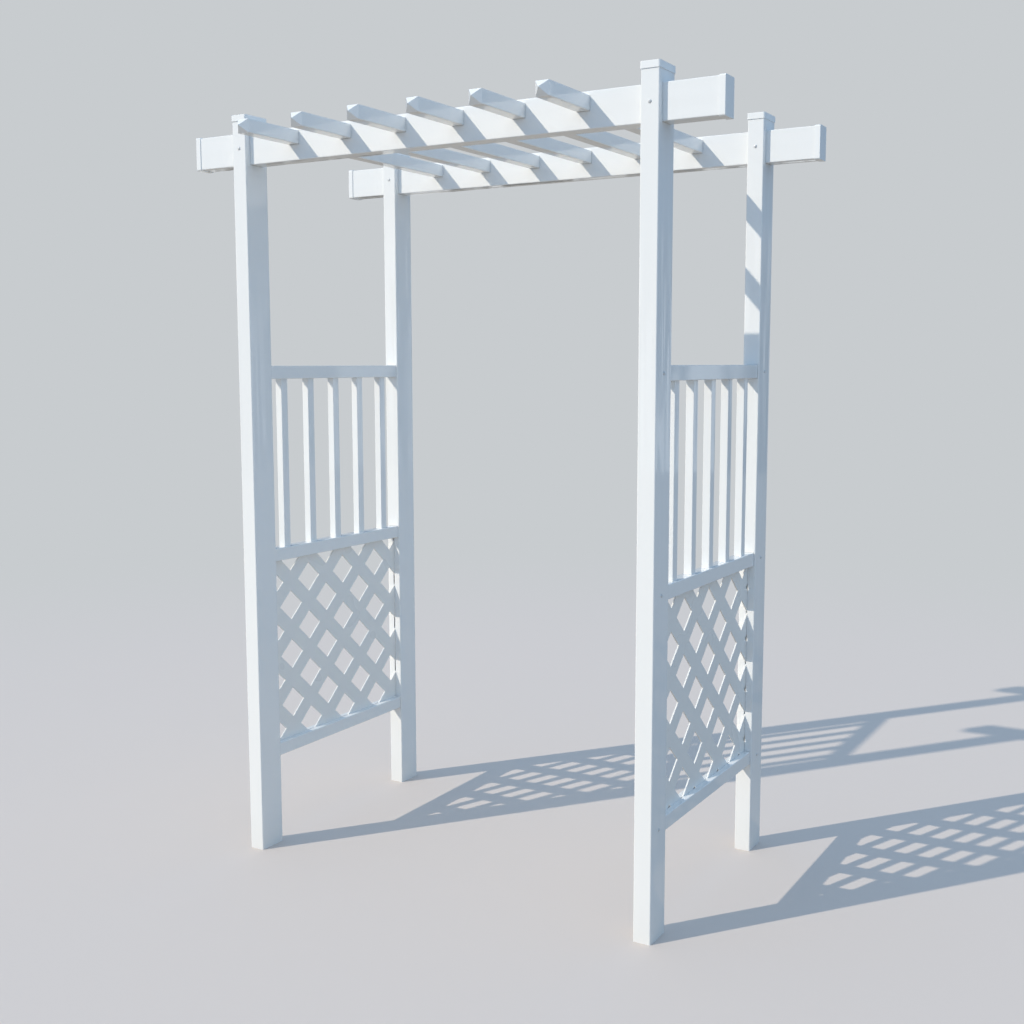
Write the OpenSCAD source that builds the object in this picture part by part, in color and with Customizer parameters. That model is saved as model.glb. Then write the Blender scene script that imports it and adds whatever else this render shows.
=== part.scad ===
// Garden arbor of white vinyl tube. Two beams run through routed holes in four posts,
// six rafters run through routed holes in the beams, and each side is closed by
// three rails with balusters above and a lattice sheet below.
// X runs along the beams, Y from the front to the back, Z up.
// The origin is on the ground, midway between the four posts.

/* [Arbor] */
// Height from the ground to the top of the post caps
arbor_h = 2134; // [2110:1:2600]
// Distance between the centres of the left and right posts
span_x = 1258; // [950:1:1800]
// Distance between the centres of the front and back posts
span_y = 716; // [500:1:1000]

/* [Posts] */
// Width of a post, seen from the front
post_x = 47.6; // [45:0.1:60]
// Depth of a post, from its front face to its back face
post_y = 89; // [70:0.5:120]
// Wall of a post
post_wall = 2.5; // [1.5:0.1:3.5]
// Corner radius of a post
post_r = 3; // [1:0.1:5]

/* [Beams] */
// Thickness of a beam, from front to back
beam_y = 50.8; // [40:0.1:60]
// Height of a beam
beam_z = 88.9; // [60:0.1:110]
// Wall of a beam
beam_wall = 2.5; // [1.5:0.1:3.5]
// Corner radius of a beam
beam_r = 2.5; // [1:0.1:4]
// Height of the post that shows between the beam's top and the cap's top
beam_drop = 47.6; // [25:0.1:90]
// Length of the beam's end beyond the outer face of the post, without its cap
beam_overhang = 152.5; // [40:0.5:400]

/* [Rafters] */
// Number of rafters
rafter_n = 6; // [2:1:8]
// Side of a rafter's square section
rafter_s = 36; // [30:0.1:45]
// Wall of a rafter
rafter_wall = 2; // [1.2:0.1:3]
// Corner radius of a rafter
rafter_r = 2; // [1:0.1:4]
// Depth of the rafter's top below the beam's top
rafter_drop = 10.4; // [5:0.1:18]
// Length of a rafter in front of the front beam, and behind the back beam
rafter_overhang = 198.6; // [60:0.1:400]
// Distance from a post's inner face to the centre of the nearest rafter
rafter_inset = 158.7; // [30:0.1:200]

/* [Rails] */
// Side of a rail's square section
rail_s = 38.1; // [32:0.1:42]
// Wall of a rail
rail_wall = 2.2; // [1.2:0.1:3]
// Corner radius of a rail
rail_r = 2; // [1:0.1:4]
// Height of the top rail's centre
rail_top_z = 1416; // [1200:1:1800]
// Height of the middle rail's centre
rail_mid_z = 876; // [700:1:1100]
// Height of the bottom rail's centre
rail_low_z = 284; // [60:1:500]
// Space between a rail's end and the far wall of the post
rail_end_gap = 3; // [1:0.5:30]

/* [Balusters] */
// Number of balusters on each side
baluster_n = 5; // [2:1:7]
// Width of a baluster across the side
baluster_x = 22.2; // [16:0.1:28]
// Depth of a baluster along the side
baluster_y = 27.8; // [16:0.1:34]
// Wall of a baluster
baluster_wall = 1.8; // [1:0.1:3]
// Corner radius of a baluster
baluster_r = 1.5; // [0.5:0.1:3]
// Distance from a post's inner face to the centre of the nearest baluster
baluster_inset = 68.5; // [20:0.5:110]
// Depth of a baluster's end in its rail
baluster_seat = 12; // [4:0.5:16]

/* [Lattice] */
// Thickness of the lattice sheet
lattice_t = 3.5; // [2:0.1:8]
// Width of a lattice slat
slat_w = 45; // [20:0.5:60]
// Distance between the lattice's crossings along the side
lattice_pitch_y = 170; // [130:0.5:240]
// Distance between the lattice's crossings up the side
lattice_pitch_z = 151; // [130:0.5:240]
// Depth of the lattice's edges in the slots of the posts and rails
lattice_seat = 12; // [6:0.5:16]
// Width of the uncut strip along the sheet's edges, deep in the slots
lattice_rim = 3; // [2:0.5:4]
// Shift of the left sheet's pattern to the back, from the middle of the side
left_shift_y = -55; // [-85:1:85]
// Shift of the left sheet's pattern up, from the middle of the side
left_shift_z = 56; // [-75:1:75]
// Shift of the right sheet's pattern to the back, from the middle of the side
right_shift_y = -72; // [-85:1:85]
// Shift of the right sheet's pattern up, from the middle of the side
right_shift_z = 63; // [-75:1:75]

/* [Caps] */
// Height of a post's cap
post_cap_h = 17; // [10:0.5:25]
// Length of a beam's end cap
beam_cap_l = 16; // [10:0.5:40]
// Wall of the caps that slip over a post or a beam
cap_wall = 2; // [1:0.1:4]
// Thickness of a slip-over cap's closed end
cap_end = 2.5; // [1.5:0.1:5]
// Radius along the closed end's edges
cap_edge = 1.2; // [0.4:0.1:1.4]
// Height of a rafter cap's pyramid
pyramid_h = 20; // [8:0.5:40]
// Thickness of a rafter cap's rim, which lies against the rafter's end
rim_t = 4; // [1:0.5:8]
// Length of the plug that holds a rafter cap in the rafter
plug_l = 14; // [5:0.5:40]
// Wall of that plug
plug_wall = 1.6; // [1:0.1:3]

/* [Screws] */
// Diameter of a screw's shank
screw_d = 4.2; // [3:0.1:5]
// Diameter of a screw's head
screw_head_d = 10; // [8:0.1:12]
// Height of a screw's head
screw_head_h = 3; // [2:0.1:3.5]
// Length of the cross recess in a screw's head
screw_cross_l = 4.6; // [3:0.1:6]
// Width of the cross recess
screw_cross_w = 1.1; // [0.8:0.1:1.5]
// Depth of the cross recess
screw_cross_h = 1.4; // [0.6:0.1:1.4]
// Diameter of a screw's blunt tip
screw_tip_d = 0.8; // [0.5:0.1:2]
// Length of a screw's thread past the wall that it bites into
screw_bite = 5; // [3:0.5:10]

/* [Fit] */
// Space all round between a tube and the routed hole that it passes through
hole_fit = 0.4; // [0.2:0.05:0.8]
// Space on each side of the lattice sheet in its slot
slot_fit = 0.3; // [0.2:0.05:0.8]
// Space between a cap or plug and the wall beside it
cap_fit = 0.2; // [0.1:0.05:0.5]

/* [Hidden] */
$fn = 48;
vinyl = "#F4F6F8";
screw_colour = "#C9CCCE";
// Every cutter reaches this far past the faces that it cuts
cut = 1;
// Smallest corner radius inside a tube
least_r = 0.4;
LEFT = -1;
RIGHT = 1;
FRONT = -1;
BACK = 1;

post_h = arbor_h - cap_end;
// Middle of the posts, and their faces on the inner and outer sides
post_cx = span_x / 2;
post_cy = span_y / 2;
inner_x = post_cx - post_x / 2;
outer_x = post_cx + post_x / 2;
inner_y = post_cy - post_y / 2;
outer_y = post_cy + post_y / 2;

beam_top = arbor_h - beam_drop;
beam_cz = beam_top - beam_z / 2;
beam_end = outer_x + beam_overhang;

rafter_cz = beam_top - rafter_drop - rafter_s / 2;
rafter_end = post_cy + beam_y / 2 + rafter_overhang;
rafter_pitch = 2 * (inner_x - rafter_inset) / (rafter_n - 1);

rail_end = outer_y - post_wall - rail_end_gap;
baluster_pitch = 2 * (inner_y - baluster_inset) / (baluster_n - 1);

// The lattice lies between the bottom rail's top and the middle rail's bottom
lattice_low = rail_low_z + rail_s / 2;
lattice_high = rail_mid_z - rail_s / 2;
lattice_cz = (lattice_low + lattice_high) / 2;
lattice_y = 2 * (inner_y + lattice_seat);
lattice_z = lattice_high - lattice_low + 2 * lattice_seat;
slat_angle = atan(lattice_pitch_z / lattice_pitch_y);
slat_l = 2 * norm([lattice_y, lattice_z]);
slat_reach = ceil((lattice_y + lattice_z / tan(slat_angle)) / lattice_pitch_y) + 1;

SIDES = [["left", LEFT], ["right", RIGHT]];
ENDS = [["front", FRONT], ["back", BACK]];
RAILS = [["top", rail_top_z], ["mid", rail_mid_z], ["low", rail_low_z]];

// Rectangle with round corners, centred on the origin
module rounded(x, y, r) {
    square([x - 2 * r, y], center = true);
    square([x, y - 2 * r], center = true);
    for (i = [-1, 1], j = [-1, 1])
        translate([i * (x / 2 - r), j * (y / 2 - r)]) circle(r);
}

// Upright tube with its lower end on the origin
module tube(x, y, l, wall, r) {
    linear_extrude(l) difference() {
        rounded(x, y, r);
        rounded(x - 2 * wall, y - 2 * wall, max(r - wall, least_r));
    }
}

// Turns an upright piece to point along X, with its own x across and its y up
module along_x() {
    rotate([90, 0, 90]) children();
}

// Turns an upright piece to point along Y, with its x across and its y down
module along_y() {
    rotate([-90, 0, 0]) children();
}

// Upright slab whose two upper edges are rounded, as deep as it needs to be
module round_topped(x, y, h, edge) {
    rotate([90, 0, 0]) linear_extrude(y, center = true) {
        translate([-x / 2, 0]) square([x, h - edge]);
        translate([-x / 2 + edge, 0]) square([x - 2 * edge, h]);
        for (i = [-1, 1]) translate([i * (x / 2 - edge), h - edge]) circle(edge);
    }
}

// Cap that slips over an upright tube, with its open end on the origin
module slip_cap(x, y, r, h) {
    out_x = x + 2 * (cap_fit + cap_wall);
    out_y = y + 2 * (cap_fit + cap_wall);
    out_r = r + cap_fit + cap_wall;
    difference() {
        intersection() {
            linear_extrude(h) rounded(out_x, out_y, out_r);
            round_topped(out_x, out_y + 2 * cut, h, cap_edge);
            rotate([0, 0, 90]) round_topped(out_y, out_x + 2 * cut, h, cap_edge);
        }
        translate([0, 0, -cut]) linear_extrude(h - cap_end + cut)
            rounded(x + 2 * cap_fit, y + 2 * cap_fit, r + cap_fit);
    }
}

// Cutter for a tube of size [x, y, z] that passes through a routed hole
module passage(size) {
    cube([for (s = size) s + 2 * hole_fit], center = true);
}

// Self-tapping screw with a domed head, pointing down from the face on the origin
module screw(l) {
    point_l = screw_d;
    dome_r = (pow(screw_head_d / 2, 2) + pow(screw_head_h, 2)) / (2 * screw_head_h);
    difference() {
        union() {
            rotate_extrude() intersection() {
                translate([0, screw_head_h - dome_r]) circle(dome_r);
                square([screw_head_d / 2, screw_head_h]);
            }
            translate([0, 0, point_l - l]) cylinder(d = screw_d, h = l - point_l);
            translate([0, 0, -l]) cylinder(d1 = screw_tip_d, d2 = screw_d, h = point_l);
        }
        for (turn = [0, 90]) rotate([0, 0, turn]) translate([0, 0, screw_head_h])
            cube([screw_cross_l, screw_cross_w, 2 * screw_cross_h], center = true);
    }
}

// Round hole for a screw's shank, centred on the wall that it goes through
module screw_hole(wall) {
    cylinder(d = screw_d + 2 * cap_fit, h = wall + 2 * cut, center = true);
}

// Places a beam screw on the front face of each post, pointing to the back
module at_beam_screws() {
    for (s = SIDES, e = ENDS)
        translate([s[1] * post_cx, e[1] * post_cy - post_y / 2, beam_cz]) rotate([90, 0, 0]) children();
}

// Places a rail screw on the outer face of each post, pointing inward at each rail
module at_rail_screws() {
    for (s = SIDES, e = ENDS, r = RAILS)
        translate([s[1] * outer_x, e[1] * post_cy, r[1]]) rotate([0, s[1] * 90, 0]) children();
}

// Post with a hole for the beam through its two sides, and in its inner face
// an opening for each rail and a slot for the lattice's edge
module post(side, end) {
    color(vinyl) difference() {
        translate([side * post_cx, end * post_cy, 0]) tube(post_x, post_y, post_h, post_wall, post_r);
        translate([side * post_cx, end * post_cy, beam_cz]) passage([post_x + 2 * cut, beam_y, beam_z]);
        for (r = RAILS) translate([side * post_cx, end * inner_y, r[1]])
            passage([rail_s, 2 * post_wall + cut, rail_s]);
        translate([side * post_cx, end * inner_y, lattice_cz])
            cube([lattice_t + 2 * slot_fit, 2 * post_wall + cut, lattice_z], center = true);
        at_beam_screws() translate([0, 0, -post_wall / 2]) screw_hole(post_wall);
        at_rail_screws() translate([0, 0, -post_wall / 2]) screw_hole(post_wall);
    }
}

module post_cap(side, end) {
    color(vinyl) translate([side * post_cx, end * post_cy, arbor_h - post_cap_h])
        slip_cap(post_x, post_y, post_r, post_cap_h);
}

// Beam with a square hole through its two sides for each rafter
module beam(end) {
    wall_y = end * post_cy - beam_y / 2 + beam_wall / 2;
    color(vinyl) difference() {
        translate([-beam_end, end * post_cy, beam_cz]) along_x()
            tube(beam_y, beam_z, 2 * beam_end, beam_wall, beam_r);
        for (i = [1:rafter_n]) translate([rafter_x(i), end * post_cy, rafter_cz])
            passage([rafter_s, beam_y + 2 * cut, rafter_s]);
        for (s = SIDES) translate([s[1] * post_cx, wall_y, beam_cz]) rotate([90, 0, 0])
            screw_hole(beam_wall);
    }
}

module beam_cap(side, end) {
    color(vinyl) mirror([side == LEFT ? 1 : 0, 0, 0])
        translate([beam_end + cap_end - beam_cap_l, end * post_cy, beam_cz]) along_x()
            slip_cap(beam_y, beam_z, beam_r, beam_cap_l);
}

function rafter_x(i) = (i - (rafter_n + 1) / 2) * rafter_pitch;

module rafter(i) {
    color(vinyl) translate([rafter_x(i), -rafter_end, rafter_cz]) along_y()
        tube(rafter_s, rafter_s, 2 * rafter_end, rafter_wall, rafter_r);
}

// Pyramid on a rim, with a hollow plug that fits in the rafter's end
module rafter_cap(i, end) {
    plug_s = rafter_s - 2 * (rafter_wall + cap_fit);
    plug_r = max(rafter_r - rafter_wall - cap_fit, least_r);
    slope = [[-rafter_s / 2, 0], [rafter_s / 2, 0], [0, pyramid_h]];
    color(vinyl) mirror([0, end == FRONT ? 1 : 0, 0])
        translate([rafter_x(i), rafter_end, rafter_cz]) along_y() {
            linear_extrude(rim_t) rounded(rafter_s, rafter_s, rafter_r);
            translate([0, 0, rim_t]) intersection() {
                linear_extrude(pyramid_h) rounded(rafter_s, rafter_s, rafter_r);
                for_both_ways() rotate([90, 0, 0])
                    linear_extrude(rafter_s + 2 * cut, center = true) polygon(slope);
            }
            translate([0, 0, -plug_l]) tube(plug_s, plug_s, plug_l, plug_wall, plug_r);
        }
}

// What lies in both the child and the child turned by a quarter
module for_both_ways() {
    intersection() {
        children();
        rotate([0, 0, 90]) children();
    }
}

// Height of the middle of the rail wall that faces the balusters or the lattice
function wall_z(centre, up) = centre + up * (rail_s - rail_wall) / 2;

// Rail between the front and back posts, with a hole for each screw at its ends
module rail(side, centre) {
    wall_x = side * (post_cx + (rail_s - rail_wall) / 2);
    difference() {
        translate([side * post_cx, -rail_end, centre]) along_y()
            tube(rail_s, rail_s, 2 * rail_end, rail_wall, rail_r);
        for (e = ENDS) translate([wall_x, e[1] * post_cy, centre]) rotate([0, 90, 0])
            screw_hole(rail_wall);
    }
}

// Cutter for the baluster holes in one wall of a rail
module baluster_holes(side, centre, up) {
    for (i = [1:baluster_n]) translate([side * post_cx, baluster_at(i), wall_z(centre, up)])
        passage([baluster_x, baluster_y, rail_wall + cut]);
}

// Cutter for the lattice slot in one wall of a rail
module lattice_slot(side, centre, up) {
    translate([side * post_cx, 0, wall_z(centre, up)])
        cube([lattice_t + 2 * slot_fit, lattice_y + 2 * slot_fit, rail_wall + 2 * cut], center = true);
}

module rail_top(side) {
    color(vinyl) difference() {
        rail(side, rail_top_z);
        baluster_holes(side, rail_top_z, -1);
    }
}

module rail_mid(side) {
    color(vinyl) difference() {
        rail(side, rail_mid_z);
        baluster_holes(side, rail_mid_z, 1);
        lattice_slot(side, rail_mid_z, -1);
    }
}

module rail_low(side) {
    color(vinyl) difference() {
        rail(side, rail_low_z);
        lattice_slot(side, rail_low_z, 1);
    }
}

function baluster_at(i) = (i - (baluster_n + 1) / 2) * baluster_pitch;

module baluster(side, i) {
    low = rail_mid_z + rail_s / 2 - baluster_seat;
    high = rail_top_z - rail_s / 2 + baluster_seat;
    color(vinyl) translate([side * post_cx, baluster_at(i), low])
        tube(baluster_x, baluster_y, high - low, baluster_wall, baluster_r);
}

// Slats that cross at lattice_pitch_y and lattice_pitch_z, from corner to corner
module slats(shift_y, shift_z) {
    intersection() {
        square([lattice_y, lattice_z], center = true);
        for (lean = [-1, 1], k = [-slat_reach:slat_reach])
            translate([shift_y + k * lattice_pitch_y, shift_z]) rotate(lean * slat_angle)
                square([slat_l, slat_w], center = true);
    }
}

// Sheet of crossed slats in one plane, held together by an uncut strip along its edges
module lattice(side, shift_y, shift_z) {
    color(vinyl) translate([side * post_cx, 0, lattice_cz]) rotate([90, 0, 90])
        linear_extrude(lattice_t, center = true) {
            slats(shift_y, shift_z);
            difference() {
                square([lattice_y, lattice_z], center = true);
                square([lattice_y - 2 * lattice_rim, lattice_z - 2 * lattice_rim], center = true);
            }
        }
}

module beam_screws() {
    l = post_y / 2 - beam_y / 2 + beam_wall + screw_bite;
    color(screw_colour) at_beam_screws() screw(l);
}

module rail_screws() {
    l = post_x / 2 - rail_s / 2 + rail_wall + screw_bite;
    color(screw_colour) at_rail_screws() screw(l);
}

for (s = SIDES, e = ENDS) {
    post(s[1], e[1]);
    post_cap(s[1], e[1]);
    beam_cap(s[1], e[1]);
}
for (e = ENDS) {
    beam(e[1]);
}
for (i = [1:rafter_n]) {
    rafter(i);
    rafter_cap(i, FRONT);
    rafter_cap(i, BACK);
}
for (s = SIDES) {
    rail_top(s[1]);
    rail_mid(s[1]);
    rail_low(s[1]);
    for (i = [1:baluster_n]) {
        baluster(s[1], i);
    }
}
lattice(LEFT, left_shift_y, left_shift_z);  // lattice_left
lattice(RIGHT, right_shift_y, right_shift_z);  // lattice_right
beam_screws();
rail_screws();
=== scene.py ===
import math

import bpy
from mathutils import Matrix, Vector

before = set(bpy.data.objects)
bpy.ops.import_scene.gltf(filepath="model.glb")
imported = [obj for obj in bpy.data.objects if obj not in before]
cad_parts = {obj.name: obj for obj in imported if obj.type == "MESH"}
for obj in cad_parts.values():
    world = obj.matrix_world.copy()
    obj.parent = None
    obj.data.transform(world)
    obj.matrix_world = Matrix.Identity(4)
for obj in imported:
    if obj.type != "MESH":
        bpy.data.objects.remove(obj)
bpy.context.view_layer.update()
print("frame loaded:", len(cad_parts), "nodes")

noiseLow, noiseHigh = 0.3, 0.7          # nearly all of a noise's values lie between these
softDetail = 1                          # a noise's Detail where the pattern has no fine grain
mixFactor, mixFrom, mixTo = 0, 6, 7     # a Mix node's sockets for colours
mixResult = 2


# colours are written as sRGB hex, as a colour picker shows them
def linearColour(hexCode):
    channels = [int(hexCode[i:i + 2], 16) / 255 for i in (1, 3, 5)]
    return [c / 12.92 if c <= 0.04045 else ((c + 0.055) / 1.055) ** 2.4 for c in channels] + [1]


# adds one node with its options, sets its sockets and links those that other nodes feed;
# a socket goes by its number where several have one name
def addNode(tree, kind, settings=None, sockets=None):
    node = tree.nodes.new(kind)
    for name, value in (settings or {}).items():
        setattr(node, name, value)
    for socket, value in (sockets or {}).items():
        if isinstance(value, bpy.types.NodeSocket):
            tree.links.new(value, node.inputs[socket])
        else:
            node.inputs[socket].default_value = value
    return node


def newMaterial(name):
    material = bpy.data.materials.new(name)
    material.use_nodes = True
    material.node_tree.nodes.clear()
    return material, material.node_tree


def perMetre(millimetres):
    return 1000 / millimetres


# white rigid PVC, extruded as tube: smooth and glossy enough to mirror a lit face beside it,
# with walls that are never quite flat, so that reflections waver in streaks along the tube
extrudedVinyl = {
    "colour": "#F3F5F5",
    "dustColour": "#C9C6BF",
    "roughLow": 0.02,
    "roughHigh": 0.06,
    "ior": 1.53,
    "waveWidth": 42,         # mm, one soft hollow across a wall
    "waveLength": 700,       # mm, and along it
    "waveDepth": 0.90,       # mm
    "smudgeSize": 220,       # mm, handling marks that dull the gloss
    "dustSlope": (0.5, 1.0),  # how far up a face points where dust starts, and where it is full
    "topDust": 0.12,
    "footDust": 0.10,
    "footHeight": 0.12,      # m, how high rain splashes soil
}

# white foamed PVC sheet of the lattice, extruded too: duller and a touch warmer than the tube,
# and flatter
latticeSheet = {
    "colour": "#F3F3F0",
    "dustColour": "#C9C6BF",
    "roughLow": 0.26,
    "roughHigh": 0.36,
    "ior": 1.50,
    "waveWidth": 90,         # mm
    "waveLength": 90,        # mm
    "waveDepth": 0.20,       # mm
    "smudgeSize": 160,       # mm
    "dustSlope": (0.5, 1.0),
    "topDust": 0.20,
    "footDust": 0.0,         # the sheet is above what rain splashes
    "footHeight": 0.12,      # m
}


# the pattern is drawn out along the axis that the tube lies along
def stretched(axis, across, along):
    return [perMetre(along) if axis == a else perMetre(across) for a in "XYZ"]


def makeExtrudedVinyl(name, axis, values):
    material, tree = newMaterial(name)
    place = addNode(tree, "ShaderNodeTexCoord")
    waveMap = addNode(tree, "ShaderNodeMapping", None, {
        "Vector": place.outputs["Object"],
        "Scale": stretched(axis, values["waveWidth"], values["waveLength"])})
    waves = addNode(tree, "ShaderNodeTexNoise", None, {
        "Vector": waveMap.outputs["Vector"], "Scale": 1, "Detail": softDetail})
    smudges = addNode(tree, "ShaderNodeTexNoise", None, {
        "Vector": place.outputs["Object"],
        "Scale": perMetre(values["smudgeSize"]), "Detail": softDetail})

    # dust lies on what faces up, and soil splashes on the lowest part
    geometry = addNode(tree, "ShaderNodeNewGeometry")
    normal = addNode(tree, "ShaderNodeSeparateXYZ", None, {"Vector": geometry.outputs["Normal"]})
    height = addNode(tree, "ShaderNodeSeparateXYZ", None, {"Vector": place.outputs["Object"]})
    dustFrom, dustFull = values["dustSlope"]
    facesUp = addNode(tree, "ShaderNodeMapRange", {"clamp": True}, {
        "Value": normal.outputs["Z"], "From Min": dustFrom, "From Max": dustFull,
        "To Min": 0.0, "To Max": values["topDust"]})
    nearGround = addNode(tree, "ShaderNodeMapRange", {"clamp": True}, {
        "Value": height.outputs["Z"], "From Min": 0.0, "From Max": values["footHeight"],
        "To Min": values["footDust"], "To Max": 0.0})
    dust = addNode(tree, "ShaderNodeMath", {"operation": "ADD"}, {
        0: facesUp.outputs["Result"], 1: nearGround.outputs["Result"]})
    colour = addNode(tree, "ShaderNodeMix", {"data_type": "RGBA"}, {
        mixFactor: dust.outputs["Value"],
        mixFrom: linearColour(values["colour"]), mixTo: linearColour(values["dustColour"])})

    roughness = addNode(tree, "ShaderNodeMapRange", None, {
        "Value": smudges.outputs["Fac"], "From Min": noiseLow, "From Max": noiseHigh,
        "To Min": values["roughLow"], "To Max": values["roughHigh"]})
    waveBump = addNode(tree, "ShaderNodeBump", None, {
        "Height": waves.outputs["Fac"], "Distance": values["waveDepth"] / 1000, "Strength": 1})
    shader = addNode(tree, "ShaderNodeBsdfPrincipled", None, {
        "Base Color": colour.outputs[mixResult], "Roughness": roughness.outputs["Result"],
        "IOR": values["ior"], "Normal": waveBump.outputs["Normal"]})
    addNode(tree, "ShaderNodeOutputMaterial", None, {"Surface": shader.outputs["BSDF"]})
    return material


# injection moulded PVC caps: a touch brighter than the tube and nearly as glossy, without its
# streaks but with shallow sinks where the thick wall cooled
mouldedVinyl = {
    "colour": "#F5F7F7",
    "rough": 0.07,
    "ior": 1.53,
    "sinkSize": 25,          # mm
    "sinkDepth": 0.08,       # mm
}


def makeMouldedVinyl(name, values):
    material, tree = newMaterial(name)
    place = addNode(tree, "ShaderNodeTexCoord")
    sinks = addNode(tree, "ShaderNodeTexNoise", None, {
        "Vector": place.outputs["Object"],
        "Scale": perMetre(values["sinkSize"]), "Detail": softDetail})
    sinkBump = addNode(tree, "ShaderNodeBump", None, {
        "Height": sinks.outputs["Fac"], "Distance": values["sinkDepth"] / 1000, "Strength": 1})
    shader = addNode(tree, "ShaderNodeBsdfPrincipled", None, {
        "Base Color": linearColour(values["colour"]), "Roughness": values["rough"],
        "IOR": values["ior"], "Normal": sinkBump.outputs["Normal"]})
    addNode(tree, "ShaderNodeOutputMaterial", None, {"Surface": shader.outputs["BSDF"]})
    return material


# zinc-plated steel with a pale bloom: light and dull, with a slightly mottled plating
platedSteel = {
    "colour": "#E8EBED",
    "metallic": 0.35,
    "roughLow": 0.32,
    "roughHigh": 0.44,
    "mottle": 4,             # mm, drawn coarser than the real 1 mm so that it shows
    "mottleDetail": 3,
}


def makePlatedSteel(name, values):
    material, tree = newMaterial(name)
    place = addNode(tree, "ShaderNodeTexCoord")
    mottle = addNode(tree, "ShaderNodeTexNoise", None, {
        "Vector": place.outputs["Object"],
        "Scale": perMetre(values["mottle"]), "Detail": values["mottleDetail"]})
    roughness = addNode(tree, "ShaderNodeMapRange", None, {
        "Value": mottle.outputs["Fac"], "From Min": noiseLow, "From Max": noiseHigh,
        "To Min": values["roughLow"], "To Max": values["roughHigh"]})
    shader = addNode(tree, "ShaderNodeBsdfPrincipled", None, {
        "Base Color": linearColour(values["colour"]), "Metallic": values["metallic"],
        "Roughness": roughness.outputs["Result"]})
    addNode(tree, "ShaderNodeOutputMaterial", None, {"Surface": shader.outputs["BSDF"]})
    return material


uprightVinyl = makeExtrudedVinyl("extrudedVinylUpright", "Z", extrudedVinyl)
sidewaysVinyl = makeExtrudedVinyl("extrudedVinylSideways", "X", extrudedVinyl)
lengthwaysVinyl = makeExtrudedVinyl("extrudedVinylLengthways", "Y", extrudedVinyl)
sheetVinyl = makeExtrudedVinyl("latticeSheetVinyl", "Y", latticeSheet)
capVinyl = makeMouldedVinyl("mouldedVinyl", mouldedVinyl)
screwSteel = makePlatedSteel("zincPlatedSteel", platedSteel)


# posts and balusters stand, beams lie from side to side, rafters and rails from front to back
def materialFor(nodeName):
    if "_cap_" in nodeName:
        return capVinyl
    if nodeName.endswith("_screws"):
        return screwSteel
    if nodeName.startswith("beam"):
        return sidewaysVinyl
    if nodeName.startswith("lattice"):
        return sheetVinyl
    if nodeName.startswith(("rafter", "rail")):
        return lengthwaysVinyl
    return uprightVinyl


for nodeName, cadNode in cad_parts.items():
    cadNode.data.materials.clear()
    cadNode.data.materials.append(materialFor(nodeName))
print("materials set")


# plain pale floor that fades into the background, so that there is no horizon line
floorLook = {
    "colour": "#D6CCC5",
    "ground": "#B2A597",     # the floor as it lights the arbor, darker and warm like a path
    "lawn": "#988D80",       # the same to the right of the arbor, darker still
    "lawnEdge": (0.7, 1.0),  # m from the arbor's middle
    "radius": 14,            # m
    "sides": 96,
    "rough": 0.9,
    "fadeStart": 2.2,        # m
    "fadeEnd": 6.5,          # m
}

# the background, and the sky that lights the arbor; gloss mirrors the background as upright
# bands near the horizon, and a dimmer sky above them
skyLook = {
    "background": "#C8CCCF",
    "sky": "#C1DFFF",
    "skyStrength": 0.81,
    "bandWidth": 2.4,        # degrees
    "bandDetail": 3,
    "bandGrain": 0.7,        # how strong the finer bands are
    "bandEdge": (0.48, 0.56),  # noise values between which dark turns into light
    "bandLow": 0.05,
    "bandHigh": 1.60,
    "bandTop": (4, 7),       # degrees above the horizon, where the bands give way to sky
    "mirroredSky": "#8FB4DC",
    "mirroredSkyStrength": 0.30,
}


def makeFloor(values, background):
    bpy.ops.object.select_all(action="DESELECT")
    bpy.ops.mesh.primitive_circle_add(
        vertices=values["sides"], radius=values["radius"], fill_type="NGON")
    floor = bpy.context.object
    floor.name = "floor"

    material, tree = newMaterial("matteFloor")
    place = addNode(tree, "ShaderNodeTexCoord")
    ray = addNode(tree, "ShaderNodeLightPath")
    distance = addNode(tree, "ShaderNodeVectorMath", {"operation": "LENGTH"}, {
        0: place.outputs["Object"]})
    fade = addNode(tree, "ShaderNodeMapRange", {"interpolation_type": "SMOOTHSTEP"}, {
        "Value": distance.outputs["Value"],
        "From Min": values["fadeStart"], "From Max": values["fadeEnd"]})
    fadeSeen = addNode(tree, "ShaderNodeMath", {"operation": "MULTIPLY"}, {
        0: fade.outputs["Result"], 1: ray.outputs["Is Camera Ray"]})

    spot = addNode(tree, "ShaderNodeSeparateXYZ", None, {"Vector": place.outputs["Object"]})
    lawnFrom, lawnFull = values["lawnEdge"]
    onLawn = addNode(tree, "ShaderNodeMapRange", {"interpolation_type": "SMOOTHSTEP"}, {
        "Value": spot.outputs["X"], "From Min": lawnFrom, "From Max": lawnFull})
    soil = addNode(tree, "ShaderNodeMix", {"data_type": "RGBA"}, {
        mixFactor: onLawn.outputs["Result"],
        mixFrom: linearColour(values["ground"]), mixTo: linearColour(values["lawn"])})
    floorColour = addNode(tree, "ShaderNodeMix", {"data_type": "RGBA"}, {
        mixFactor: ray.outputs["Is Camera Ray"],
        mixFrom: soil.outputs[mixResult], mixTo: linearColour(values["colour"])})

    matte = addNode(tree, "ShaderNodeBsdfPrincipled", None, {
        "Base Color": floorColour.outputs[mixResult], "Roughness": values["rough"]})
    glow = addNode(tree, "ShaderNodeEmission", None, {"Color": linearColour(background)})
    surface = addNode(tree, "ShaderNodeMixShader", None, {
        0: fadeSeen.outputs["Value"], 1: matte.outputs["BSDF"], 2: glow.outputs["Emission"]})
    addNode(tree, "ShaderNodeOutputMaterial", None, {"Surface": surface.outputs["Shader"]})
    floor.data.materials.append(material)


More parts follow.
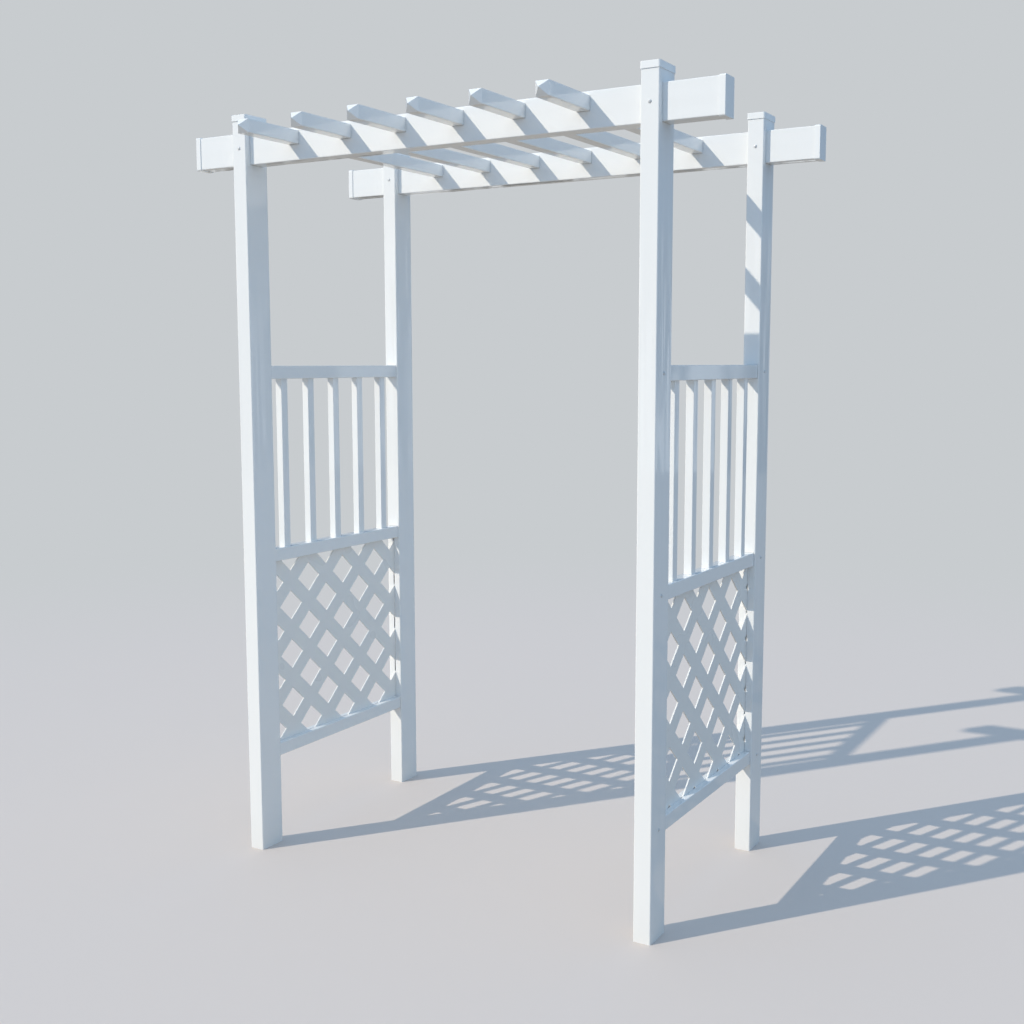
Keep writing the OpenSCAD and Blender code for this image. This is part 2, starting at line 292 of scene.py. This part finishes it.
def makeWorld(values):
    world = bpy.data.worlds.new("studio")
    bpy.context.scene.world = world
    world.use_nodes = True
    tree = world.node_tree
    tree.nodes.clear()
    ray = addNode(tree, "ShaderNodeLightPath")
    direction = addNode(tree, "ShaderNodeTexCoord")

    # a noise that is squeezed sideways and not in height stands in bands
    perRadian = 1 / math.radians(values["bandWidth"])
    squeezed = addNode(tree, "ShaderNodeMapping", None, {
        "Vector": direction.outputs["Generated"], "Scale": (perRadian, perRadian, 1)})
    streaks = addNode(tree, "ShaderNodeTexNoise", None, {
        "Vector": squeezed.outputs["Vector"], "Scale": 1,
        "Detail": values["bandDetail"], "Roughness": values["bandGrain"]})
    darkTo, lightFrom = values["bandEdge"]
    bands = addNode(tree, "ShaderNodeMapRange", {"interpolation_type": "SMOOTHSTEP"}, {
        "Value": streaks.outputs["Fac"], "From Min": darkTo, "From Max": lightFrom,
        "To Min": values["bandLow"], "To Max": values["bandHigh"]})
    banded = addNode(tree, "ShaderNodeBackground", None, {
        "Color": linearColour(values["background"]), "Strength": bands.outputs["Result"]})

    skyAbove = addNode(tree, "ShaderNodeBackground", None, {
        "Color": linearColour(values["mirroredSky"]), "Strength": values["mirroredSkyStrength"]})
    aim = addNode(tree, "ShaderNodeSeparateXYZ", None, {"Vector": direction.outputs["Generated"]})
    bandEnd, skyStart = [math.sin(math.radians(angle)) for angle in values["bandTop"]]
    aboveBands = addNode(tree, "ShaderNodeMapRange", {"interpolation_type": "SMOOTHSTEP"}, {
        "Value": aim.outputs["Z"], "From Min": bandEnd, "From Max": skyStart})
    mirrored = addNode(tree, "ShaderNodeMixShader", None, {
        0: aboveBands.outputs["Result"],
        1: banded.outputs["Background"], 2: skyAbove.outputs["Background"]})

    light = addNode(tree, "ShaderNodeBackground", None, {
        "Color": linearColour(values["sky"]), "Strength": values["skyStrength"]})
    lit = addNode(tree, "ShaderNodeMixShader", None, {
        0: ray.outputs["Is Glossy Ray"],
        1: light.outputs["Background"], 2: mirrored.outputs["Shader"]})
    seen = addNode(tree, "ShaderNodeBackground", None, {
        "Color": linearColour(values["background"]), "Strength": 1})
    surface = addNode(tree, "ShaderNodeMixShader", None, {
        0: ray.outputs["Is Camera Ray"],
        1: lit.outputs["Shader"], 2: seen.outputs["Background"]})
    addNode(tree, "ShaderNodeOutputWorld", None, {"Surface": surface.outputs["Shader"]})


# one key light from the upper left in front
keyLight = {
    "along": (0.765, 1.0, -0.869),  # the way the shadows fall in the photograph
    "strength": 2.66,
    "spread": 0.6,           # degrees, about as wide as the real sun
    "colour": "#FFF3E1",
}


def makeKeyLight(values):
    lamp = bpy.data.lights.new("key", "SUN")
    lamp.energy = values["strength"]
    lamp.angle = math.radians(values["spread"])
    lamp.color = linearColour(values["colour"])[:3]
    key = bpy.data.objects.new("key", lamp)
    bpy.context.scene.collection.objects.link(key)
    key.rotation_mode = "QUATERNION"
    key.rotation_quaternion = Vector(values["along"]).to_track_quat("-Z", "Y")


# where the photographer stood, worked out from the arbor's edges
viewpoint = {
    "place": (1.886, -3.183, 1.437),
    "turn": 30.36,           # degrees left of straight ahead
    "tilt": 6.60,            # degrees below level
    "roll": -0.12,           # degrees
    "focalPixels": 1273,
    "imagePixels": 1024,
    "sensor": 36,            # mm
}


def makeCamera(values):
    lens = bpy.data.cameras.new("camera")
    lens.sensor_width = values["sensor"]
    lens.lens = values["focalPixels"] * values["sensor"] / values["imagePixels"]
    camera = bpy.data.objects.new("camera", lens)
    bpy.context.scene.collection.objects.link(camera)
    camera.matrix_world = (
        Matrix.Translation(values["place"])
        @ Matrix.Rotation(math.radians(values["turn"]), 4, "Z")
        @ Matrix.Rotation(math.radians(90 - values["tilt"]), 4, "X")
        @ Matrix.Rotation(math.radians(values["roll"]), 4, "Z"))
    bpy.context.scene.camera = camera


makeFloor(floorLook, skyLook["background"])
makeWorld(skyLook)
makeKeyLight(keyLight)
makeCamera(viewpoint)
bpy.context.scene.view_settings.view_transform = "Standard"
print("stage set")
